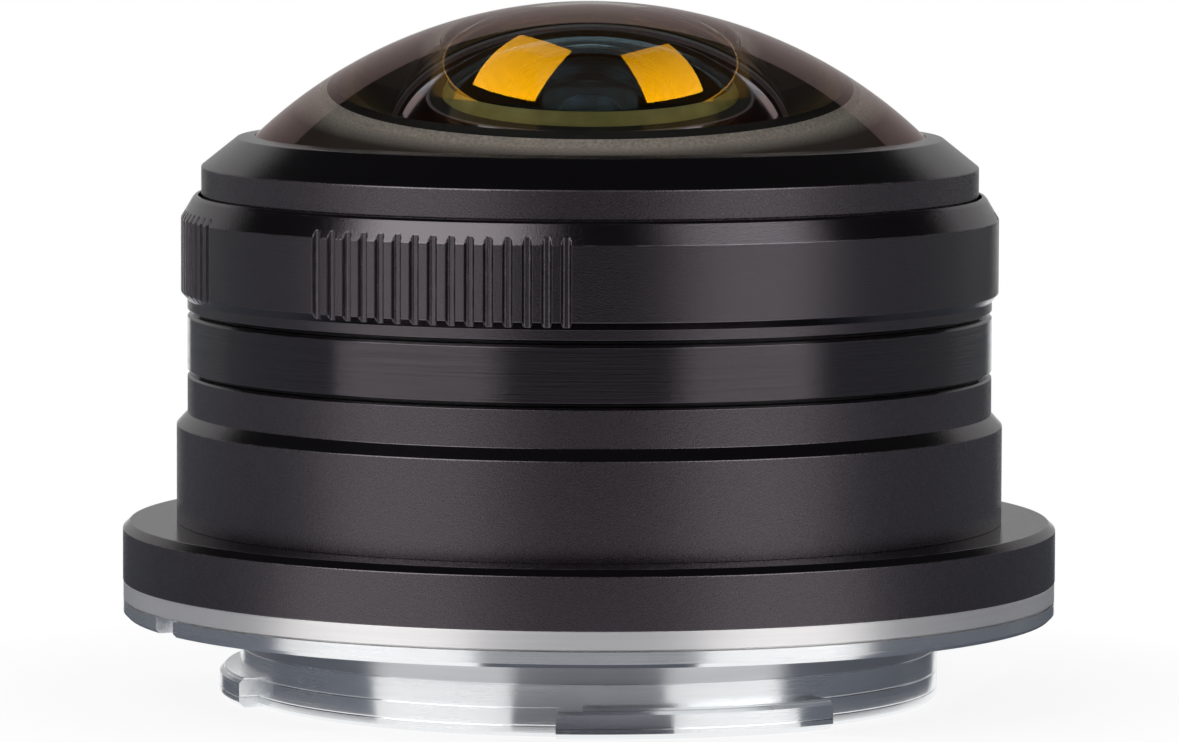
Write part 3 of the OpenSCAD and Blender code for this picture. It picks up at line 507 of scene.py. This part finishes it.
def polished_ledge(name):
    """Black paint on the cell, with a polished bare ring on the ledge round the second glass."""
    k = Look(name)
    ring = k.ramp(k.radius(), 11.2 * MM, 11.5 * MM, 0.0, 1.0)
    grain = k.noise(5200, detail=3.0, rough=0.6)
    tone = k.mix(ring, rgb(0.007, 0.007, 0.007), rgb(0.62, 0.46, 0.52))
    shine = k.ramp(ring, 0.0, 1.0, k.ramp(grain, 0.3, 0.7, 0.56, 0.70), 0.06)
    return k.set(Base_Color=tone, Metallic=ring, Roughness=shine)


def glass(name, colour, tint, ior, film_nm=0.0):
    """Polished coated glass; tint and film colour what the coating sends back, and a faint haze dulls it."""
    k = Look(name, Base_Color=colour, Transmission_Weight=1.0, IOR=ior, Specular_Tint=tint,
             Thin_Film_IOR=1.38, Thin_Film_Thickness=film_nm)
    film = k.noise(260, detail=5.0, rough=0.7)
    return k.set(Roughness=k.ramp(film, 0.45, 0.8, 0.0, 0.012))


# Materials

black = blasted("black_anodised", rgb(0.0045, 0.0027, 0.0038), rgb(0.0075, 0.0048, 0.0065),
                rough=0.28, aniso=0.55)
fine_black = blasted("black_grip", rgb(0.0019, 0.0014, 0.0018), rgb(0.0034, 0.0026, 0.0031),
                     rough=0.23, aniso=0.1)
band = brushed("black_brushed", rgb(0.0014, 0.0011, 0.0013), rgb(0.0056, 0.0046, 0.0052),
               rough=0.18, aniso=0.86)
chrome = turned_metal("bright_mount", rgb(0.88, 0.90, 0.92), rgb(0.95, 0.96, 0.97), rough=0.22, aniso=0.85,
                      lines=(-1.94, -3.4, -4.5), collar=(-1.94, -0.02))
satin = turned_metal("satin_spacer", rgb(0.90, 0.88, 0.88), rgb(0.96, 0.94, 0.94), rough=0.38, aniso=0.6,
                     metallic=0.65)
ledge = polished_ledge("ledge_paint")
cell = painted("cell_paint", rgb(0.006, 0.006, 0.006), rgb(0.011, 0.010, 0.010), rough=0.62, scale=5200)
plastic = painted("baffle_plastic", rgb(0.010, 0.010, 0.011), rgb(0.018, 0.018, 0.019),
                  rough=0.55, scale=3800, strength=0.35)
rubber = painted("seal_rubber", rgb(0.012, 0.012, 0.012), rgb(0.02, 0.02, 0.02), rough=0.7, scale=4200)
acetal = painted("washer_acetal", rgb(0.014, 0.014, 0.015), rgb(0.024, 0.024, 0.025),
                 rough=0.45, scale=2600, strength=0.1)
steel = turned_metal("screw_steel", rgb(0.42, 0.42, 0.44), rgb(0.60, 0.60, 0.61), rough=0.3, aniso=0.4)
dark_steel = turned_metal("screw_black", rgb(0.03, 0.03, 0.032), rgb(0.06, 0.06, 0.062),
                          rough=0.38, aniso=0.3)
blued = turned_metal("iris_steel", rgb(0.035, 0.036, 0.042), rgb(0.08, 0.08, 0.09), rough=0.36, aniso=0.5)
paint_edge_and_painted_light = edge_paint_and_painted_light("edge_paint_and_painted_light")
ground = painted("ground_edge", rgb(0.26, 0.22, 0.06), rgb(0.38, 0.33, 0.10),
                 rough=0.5, scale=7000, strength=0.3)
dome_front = glass("dome_glass", rgb(0.96, 0.93, 0.86), rgb(1.0, 0.8, 0.8), ior=1.71, film_nm=118.0)
dome_rear = glass("dome_coating", rgb(0.96, 0.93, 0.85), rgb(4.2, 1.88, 0.01), ior=1.71)
dome_rim = glass("dome_rim", rgb(0.96, 0.93, 0.85), rgb(0.3, 0.18, 0.03), ior=1.71)
inner_front = glass("inner_glass", rgb(0.95, 0.96, 0.93), rgb(0.05, 0.065, 0.08), ior=1.62)
inner = glass("inner_elements", rgb(0.9, 0.93, 0.95), rgb(0.06, 0.09, 0.14), ior=1.65)

# Pieces that keep the CAD's shape
coats = {
    black: ["guide_barrel", "focus_retainer"],
    ledge: ["front_cell"],
    cell: ["third_retainer", "fourth_retainer", "iris_housing", "iris_retainer", "rear_cell",
           "doublet_retainer", "rear_retainer"],
    chrome: ["bayonet_mount"],
    steel: ["mount_screws", "barrel_screws", "aperture_pin", "stop_pins", "iris_screws"],
    dark_steel: ["baffle_screws"],
    plastic: ["rear_baffle"],
    rubber: ["front_seal"],
    acetal: ["lower_washer", "middle_washer"],
    blued: ["iris_rotor"] + ["iris_blade_%d" % i for i in range(1, 8)],
    inner: ["third_element", "fourth_element", "fifth_element", "sixth_element", "seventh_element"],
}
for mat, names in coats.items():
    for name in names:
        nodes[name].data.materials.clear()
        nodes[name].data.materials.append(mat)

# Outer shells, each with its edges broken: corners as (radius, height, rounding) in millimetres
shells = [
    ("flange_shell", "flange_ring", "barrel", black,
     [(20.6, 2.28, 0.05), (FLANGE_R, 2.28, 0.06), (FLANGE_R, 5.6, 0.12), (29.52, 6.05, 0.12),
      (23.42, 6.05, 0.05), (23.42, 4.82, 0.03), (20.6, 4.82, 0.05)]),
    ("barrel_shell", "rear_barrel", "barrel", black,
     [(21.6, 4.85, 0.05), (23.4, 4.85, 0.05), (23.4, 6.05, 0.03), (BARREL_R, 6.05, 0.04),
      (BARREL_R, 12.29, 0.14), (BAND_R, 13.05, 0.08), (BAND_R, 15.39, 0.05), (25.69, 15.52, 0.05),
      (23.22, 15.52, 0.05), (23.22, 7.25, 0.03), (21.6, 7.25, 0.05)]),
    ("front_bezel", "front_ring", "barrel", black,
     [(22.62, 25.89, 0.05), (24.84, 25.89, 0.05), (24.84, 27.04, 0.02), (BEZEL_R, 27.04, 0.03),
      (BEZEL_R, 28.83, 0.16), (22.65, 30.66, 0.22), (21.58, 30.79, 0.04), (21.48, 30.79, 0.02),
      (22.23, 30.08, 0.02), (22.23, 29.98, 0.02), (22.62, 29.98, 0.05)]),
    ("aperture_band", "aperture_ring", "aperture_ring", band,
     [(RING_BORE, 15.72, 0.05), (25.7, 15.72, 0.04), (BAND_R, 15.85, 0.06), (BAND_R, 19.23, 0.06),
      (25.665, 19.39, 0.04), (RING_BORE, 19.39, 0.05)]),
    ("spacer_band", "mount_spacer", "barrel", satin,
     [(12.2, 1.0, 0.05), (29.61, 1.0, 0.02), (29.61, 1.12, 0.02), (SPACER_R, 1.12, 0.04),
      (SPACER_R, 2.28, 0.05), (12.2, 2.28, 0.05)]),
]
for name, node, body, mat, corners in shells:
    ob = turned(name, corners, mat)
    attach(ob, body)
    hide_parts(node)

grip = grip_ring("focus_grip", [
    (RING_BORE, 19.59, 0.05), (25.7, 19.59, 0.04), (BAND_R, 19.72, 0.05), (BAND_R, 20.33, 0.06),
    (FOCUS_R, 20.82, 0.10), (FOCUS_R, 25.54, 0.16), (25.49, 26.815, 0.10), (25.315, 26.99, 0.08),
    (25.14, 26.99, 0.05), (25.14, 24.89, 0.03), (RING_BORE, 24.89, 0.05)], fine_black)
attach(grip, "focus_ring")
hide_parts("focus_ring")

# Front glass: polished front, painted edge and seat whose tones carry painted light, and a hollow with a
# painted lip, also with painted light, a black line, a dimmer rim and the coated face
POLISHED, PAINT_AND_PAINTED_LIGHT, COATED, BLACKENED, DIM = range(5)
edge_a = math.asin(DOME_EDGE / DOME_R)
rim_a = math.asin(BOWL_RIM / BOWL_R)
paint_a = math.asin(PAINT_END / BOWL_R)
black_a = math.asin(BLACK_END / BOWL_R)
coat_a = math.asin(RIM_END / BOWL_R)
dome = lens("dome_glass", [
    sphere_run(DOME_R, DOME_C, 0.0, edge_a, 64, 1, POLISHED),
    # the edge and seat use the black paint whose lighter tones are painted light
    flat_run((DOME_EDGE, DOME_EDGE_Z), (DOME_EDGE, DOME_REAR_Z), PAINT_AND_PAINTED_LIGHT),
    flat_run((DOME_EDGE, DOME_REAR_Z), (BOWL_RIM, DOME_REAR_Z), PAINT_AND_PAINTED_LIGHT),
    sphere_run(BOWL_R, BOWL_C, rim_a, paint_a, 3, -1, PAINT_AND_PAINTED_LIGHT),
    sphere_run(BOWL_R, BOWL_C, paint_a, black_a, 3, -1, BLACKENED),
    sphere_run(BOWL_R, BOWL_C, black_a, coat_a, 6, -1, DIM),
    sphere_run(BOWL_R, BOWL_C, coat_a, 0.0, 44, -1, COATED),
], [dome_front, paint_edge_and_painted_light, dome_rear, cell, dome_rim])
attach(dome, "barrel")
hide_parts("front_element")

# Second element: polished front, ground bevel, blackened edge and seat, hollow rear
CLEAR, GROUND, BLACK_EDGE = range(3)
front_c = SECOND_TOP_Z - math.sqrt(SECOND_FRONT_R ** 2 - SECOND_CLEAR ** 2)
front_a = math.asin(SECOND_CLEAR / SECOND_FRONT_R)
rear_c = SECOND_Z - math.sqrt(SECOND_REAR_R ** 2 - SECOND_REAR_A ** 2)
rear_a = math.asin(SECOND_REAR_A / SECOND_REAR_R)
second = lens("second_glass", [
    sphere_run(SECOND_FRONT_R, front_c, 0.0, front_a, 40, 1, CLEAR),
    flat_run((SECOND_CLEAR, SECOND_TOP_Z), (SECOND_R, SECOND_EDGE_Z), GROUND),
    flat_run((SECOND_R, SECOND_EDGE_Z), (SECOND_R, SECOND_Z), BLACK_EDGE),
    flat_run((SECOND_R, SECOND_Z), (SECOND_REAR_A, SECOND_Z), BLACK_EDGE),
    sphere_run(SECOND_REAR_R, rear_c, rear_a, 0.0, 40, -1, CLEAR),
], [inner_front, ground, cell])
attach(second, "barrel")
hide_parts("second_element")


# Studio, in metres

FLOOR = -5.22 * MM          # just under the bayonet
MOUNT_R = 0.0238            # wall of the mount whose reflections the cards shape
LAMP_AIM = (0, 0, 0.02)
SOFTBOX_FAR = 0.8
SOFTBOX_LEVEL = 3.7         # brightness of a softbox's lower edge, where white is 1
PALE = (0.82, 0.82, 0.82)


def at(az, el, dist):
    """A point seen from the lens at an azimuth from the camera's side towards +X, and an elevation."""
    a, e = math.radians(az), math.radians(el)
    out = dist * math.cos(e)
    return (out * math.sin(a), -out * math.cos(a), LAMP_AIM[2] + dist * math.sin(e))


def softbox(name, pos, wide, tall, top, roll):
    """A softbox that faces the lens; top is the share of its brightness that is left at its upper edge."""
    data = bpy.data.lights.new(name, "AREA")
    data.shape = "RECTANGLE"
    data.size, data.size_y = wide, tall
    data.energy = SOFTBOX_LEVEL * math.pi * wide * tall
    data.use_nodes = True
    tree = data.node_tree
    place = tree.nodes.new("ShaderNodeSeparateXYZ")
    tree.links.new(tree.nodes.new("ShaderNodeNewGeometry").outputs["Parametric"], place.inputs[0])
    fade = tree.nodes.new("ShaderNodeMapRange")
    fade.inputs["To Min"].default_value = 1.0
    fade.inputs["To Max"].default_value = top
    tree.links.new(place.outputs["Y"], fade.inputs["Value"])
    tree.links.new(fade.outputs[0], tree.nodes["Emission"].inputs["Strength"])
    ob = bpy.data.objects.new(name, data)
    aim = (Vector(LAMP_AIM) - Vector(pos)).to_track_quat("-Z", "Y").to_matrix().to_4x4()
    ob.matrix_world = Matrix.Translation(pos) @ aim @ Matrix.Rotation(math.radians(roll), 4, "Z")
    bpy.context.scene.collection.objects.link(ob)
    ob.visible_camera = False


# Azimuth and elevation, width and height as shares of the distance, light left at the top, and roll
for name, az, el, wide, tall, top, roll in (("softbox_left", -52.4, 36.2, 0.774, 0.93, 0.5, 6.9),
                                            ("softbox_right", 50.4, 31.3, 0.646, 0.80, 0.4, -9.2)):
    softbox(name, at(az, el, SOFTBOX_FAR), wide * SOFTBOX_FAR, tall * SOFTBOX_FAR, top, roll)


def sheet(name, verts, mat):
    me = bpy.data.meshes.new(name)
    me.from_pydata(verts, [], [tuple(range(len(verts)))])
    me.materials.append(mat)
    ob = bpy.data.objects.new(name, me)
    bpy.context.scene.collection.objects.link(ob)
    return ob


def paper(name, tone, near=None, far=None, least=0.5, most=1.0):
    """Plain paper; with near and far it turns white away from the lens, for camera, gloss and glass alike."""
    k = Look(name, Roughness=0.8, Specular_IOR_Level=0.0)
    fibre = k.noise(900, detail=3.0)
    k.set(Base_Color=k.mix(fibre, rgb(*[0.97 * c for c in tone]), rgb(*[1.03 * c for c in tone])))
    if near is None:
        return k.mat
    way = k.tree.nodes.new("ShaderNodeLightPath")
    seen = k.math("MAXIMUM", way.outputs["Is Camera Ray"], way.outputs["Is Glossy Ray"])
    seen = k.math("MAXIMUM", seen, way.outputs["Is Transmission Ray"])
    dist = k.node("ShaderNodeVectorMath", {0: k.coord}, out=1, operation="LENGTH")
    fac = k.math("MULTIPLY", seen, k.ramp(dist, near, far, least, most))
    glow = k.node("ShaderNodeEmission", {"Color": rgb(1, 1, 1), "Strength": 1.0})
    both = k.node("ShaderNodeMixShader", {0: fac, 1: k.bsdf.outputs[0], 2: glow})
    k.tree.links.new(both, k.out.inputs["Surface"])
    return k.mat


def even_paper(name, tone, glow):
    """Paper with the same share of white glow all over."""
    return paper(name, tone, 0.0, 1.0, glow, glow)


def card(name, side0, side1, r0, r1, mat):
    """A grey card on the floor round the lens, to shape what the metal reflects; the camera doesn't see it.

    Its edges curve so that the mount's wall shows them as upright lines where it faces side0 and side1."""
    steps = 12
    lift = 0.0002  # over the floor

    def edge(side, r):
        a = math.radians(side)
        run = math.sqrt(r ** 2 - (MOUNT_R * math.sin(a)) ** 2) - MOUNT_R * math.cos(a)
        return (MOUNT_R * math.sin(a) + run * math.sin(2 * a), -MOUNT_R * math.cos(a) - run * math.cos(2 * a))

    reach = [r0 * (r1 / r0) ** (i / steps) for i in range(steps + 1)]
    arc = [side0 + (side1 - side0) * i / steps for i in range(steps + 1)]
    outline = [edge(side0, r) for r in reach] + [edge(v, r1) for v in arc]
    outline += [edge(side1, r) for r in reversed(reach)] + [edge(v, r0) for v in reversed(arc)]
    ob = sheet(name, [(x, y, FLOOR + lift) for x, y in outline], mat)
    ob.visible_camera = False
    ob.visible_shadow = False


# Floor and backdrop: half widths, and the backdrop's place and top
FLOOR_HALF = 3
BACK_HALF = 2.5
BACK_Y = 1.8
BACK_TOP = 1.17
sheet("floor", [(x * FLOOR_HALF, y * FLOOR_HALF, FLOOR) for x, y in ((-1, -1), (1, -1), (1, 1), (-1, 1))],
      paper("floor_paper", PALE, 0.024, 0.05, 0.9))
sheet("backdrop", [(-BACK_HALF, BACK_Y, FLOOR), (BACK_HALF, BACK_Y, FLOOR),
                   (BACK_HALF, BACK_Y, BACK_TOP), (-BACK_HALF, BACK_Y, BACK_TOP)],
      paper("wall_paper", PALE, 0.0, 0.1, 0.35, 0.35))

# Cards in front of the mount and at its sides: where they start and end, and their grey
FRONT_SIDE = 12.9
SIDE_END = 82
# the first front card is a dark sheet for painted shadow: it stands in for the floor's shadow by the mount,
# as the metal reflects it
for name, r0, r1, tone, glow in (("painted_shadow", 0.024, 0.034, (0.14, 0.15, 0.18), 0.0),
                                 ("near", 0.034, 0.075, (0.52, 0.54, 0.61), 0.2),
                                 ("middle", 0.075, 0.2, (0.30, 0.30, 0.32), 0.2),
                                 ("far", 0.2, 1.2, (0.02, 0.02, 0.02), 0.0)):
    card("front_" + name, -FRONT_SIDE, FRONT_SIDE, r0, r1, even_paper(name + "_card", tone, glow))
for name, r0, r1, tone in (("side", 0.024, 0.13, (0.30, 0.325, 0.38)),
                           ("side_far", 0.13, 1.2, (0.40, 0.42, 0.46))):
    side_card = paper(name + "_card", tone)
    card(name + "_right", 33.8, SIDE_END, r0, r1, side_card)
    card(name + "_left", -SIDE_END, -38.3, r0, r1, side_card)

# Black flags behind the lens, which only the glass sees: their slanting lower edges cut the backdrop's
# reflection in the polished ledge to crescents
FLAG_TOP = 0.8
flag_look = Look("flag_black", Base_Color=rgb(0.002, 0.002, 0.002), Roughness=1.0, Specular_IOR_Level=0.0)
for name, side in (("left", -1), ("right", 1)):
    wide, close = (side * 0.4915, 0.344), (side * 0.2248, 0.5563)
    wide_low, close_low = 0.093, 0.0005
    corners = [(*wide, wide_low), (*close, close_low), (*close, FLAG_TOP), (*wide, FLAG_TOP)]
    flag = sheet("flag_" + name, corners, flag_look.mat)
    flag.visible_camera = False
    flag.visible_glossy = False
    flag.visible_diffuse = False
    flag.visible_shadow = False

world = bpy.data.worlds.new("studio")
bpy.context.scene.world = world
world.use_nodes = True
background = world.node_tree.nodes["Background"]
background.inputs["Color"].default_value = rgb(0.02, 0.02, 0.021)
background.inputs["Strength"].default_value = 1.0

# Camera: distance and elevation from the point it looks at, and its roll
CAMERA_DIST = 0.52884
CAMERA_EL = math.radians(4.99)
CAMERA_ROLL = math.radians(0.17)
aim = Vector((0, 0, 0.01559))
eye = aim + CAMERA_DIST * Vector((0, -math.cos(CAMERA_EL), math.sin(CAMERA_EL)))
cam_data = bpy.data.cameras.new("camera")
cam_data.lens = 251.03
cam_data.sensor_width = 36.0
cam_data.sensor_fit = "HORIZONTAL"
cam_data.clip_start = 0.01
cam = bpy.data.objects.new("camera", cam_data)
look = (aim - eye).to_track_quat("-Z", "Y").to_matrix().to_4x4()
cam.matrix_world = Matrix.Translation(eye) @ look @ Matrix.Rotation(CAMERA_ROLL, 4, "Z")
bpy.context.scene.collection.objects.link(cam)
bpy.context.scene.camera = cam
bpy.context.scene.view_settings.view_transform = "Standard"
